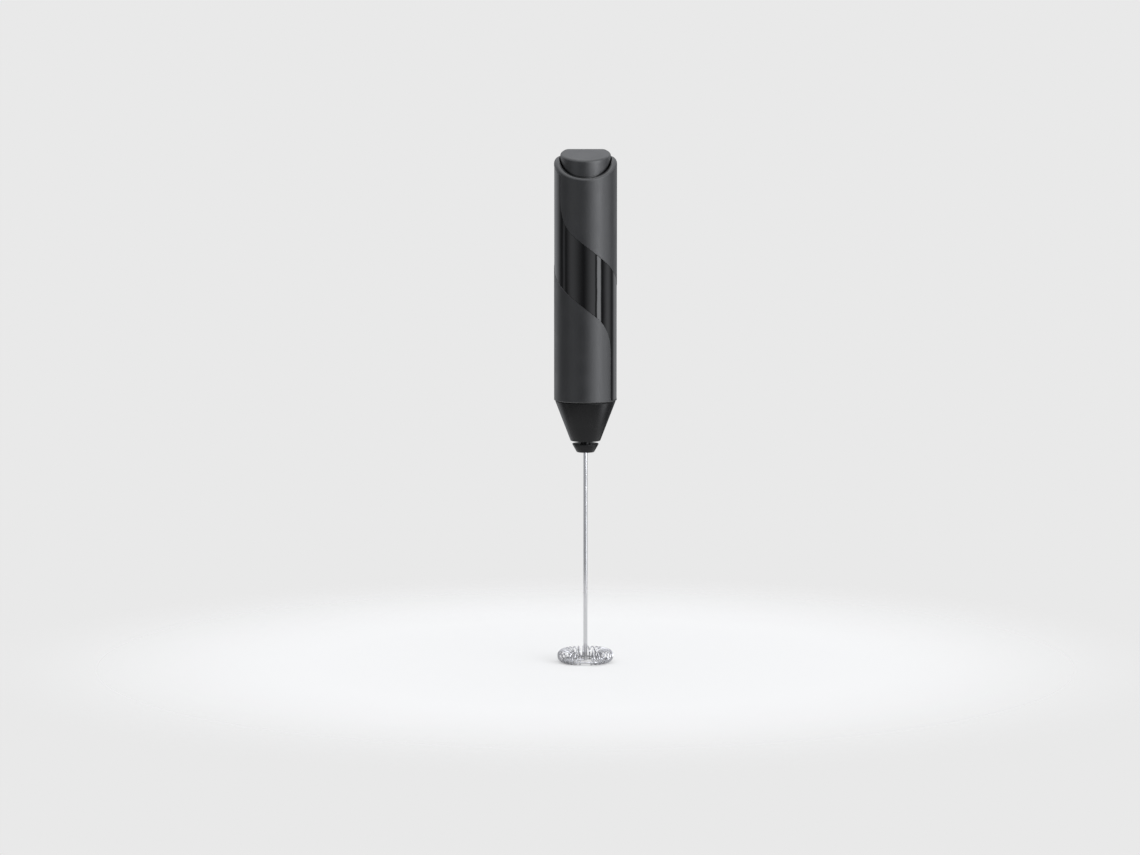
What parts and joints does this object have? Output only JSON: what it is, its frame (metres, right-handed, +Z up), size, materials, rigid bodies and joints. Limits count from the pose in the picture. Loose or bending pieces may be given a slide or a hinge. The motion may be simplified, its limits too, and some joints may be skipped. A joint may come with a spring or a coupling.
{
  "type": "milk frother",
  "caption": "Hand-held battery milk frother: round barrel with a glossy S-shaped band, push button in a slanted top, nose cone, thin steel shaft and coiled ring whisk.",
  "frame": {"origin": "on the barrel's axis, at the whisk's lowest point", "axes": "+Z up the shaft and the barrel to the button; -Y is the front, towards which the barrel's top slants down"},
  "size_m": [0.028, 0.028, 0.2298],
  "materials": {
    "soft_touch": "soft-touch lacquer, satin black",
    "piano_black": "polished black",
    "nose_plastic": "moulded semi-gloss black",
    "frame_plastic": "moulded light grey",
    "endbell_plastic": "moulded off-white",
    "switch_plastic": "moulded black",
    "rubber": "black nitrile",
    "stainless": "polished stainless steel",
    "zinc_steel": "zinc-plated steel",
    "nickel": "nickel-plated spring steel",
    "bronze": "sintered bronze",
    "copper": "copper",
    "ferrite": "pressed ferrite",
    "cell_sleeve": "plain printed sleeve",
    "lead_red": "PVC insulation",
    "lead_black": "PVC insulation"
  },
  "bodies": {
    "chassis": {"nose_cone": "nose_plastic", "nose_seal_ring": "rubber", "shaft_seal": "rubber", "inner_frame": "frame_plastic", "nose_screw_front": "zinc_steel", "nose_screw_back": "zinc_steel", "motor_can": "zinc_steel", "motor_endbell": "endbell_plastic", "motor_front_bush": "bronze", "motor_rear_bush": "bronze", "motor_magnet_left": "ferrite", "motor_magnet_right": "ferrite", "motor_brush_left": "copper", "motor_brush_right": "copper", "motor_terminal_left": "nickel", "motor_terminal_right": "nickel", "motor_screw_left": "zinc_steel", "motor_screw_right": "zinc_steel", "cell_left": "cell_sleeve", "cell_right": "cell_sleeve", "bridge_contact": "nickel", "bridge_spring": "nickel", "positive_contact": "nickel", "negative_contact": "nickel", "negative_spring": "nickel", "switch_body": "switch_plastic", "switch_terminal_left": "nickel", "switch_terminal_right": "nickel", "lead_positive": "lead_red", "lead_negative": "lead_black"},
    "grip": {"barrel_shell": "soft_touch", "gloss_band": "piano_black", "button_guide": "frame_plastic", "button_spring": "stainless"},
    "button": {"button_cap": "soft_touch", "button_clip": "zinc_steel"},
    "switch": {"switch_plunger": "endbell_plastic"},
    "spindle": {"motor_shaft": "stainless", "motor_armature": "copper", "motor_commutator": "copper", "spindle_hub": "nose_plastic", "whisk_shaft": "stainless", "whisk_hoop": "stainless", "whisk_coil": "stainless"}
  },
  "joints": [
    {"name": "spindle_spin", "type": "hinge", "parent": "chassis", "child": "spindle", "pos_m": [0, 0, 0], "axis": [0, 0, 1], "continuous": true},
    {"name": "grip_pull_off", "type": "slide", "parent": "chassis", "child": "grip", "axis": [0, 0, 1], "range_m": [0, 0.095]},
    {"name": "button_press", "type": "slide", "parent": "grip", "child": "button", "axis": [0, 0, -1], "range_m": [0, 0.0015], "stiffness_N_per_m": 800, "springref_m": -0.0015, "deforming": ["button_spring"]},
    {"name": "switch_plunger_travel", "type": "slide", "parent": "chassis", "child": "switch", "axis": [0, 0, -1], "range_m": [0, 0.0015]}
  ],
  "couplings": [
    {"joint": "switch_plunger_travel", "follows": "button_press", "ratio": 1}
  ]
}
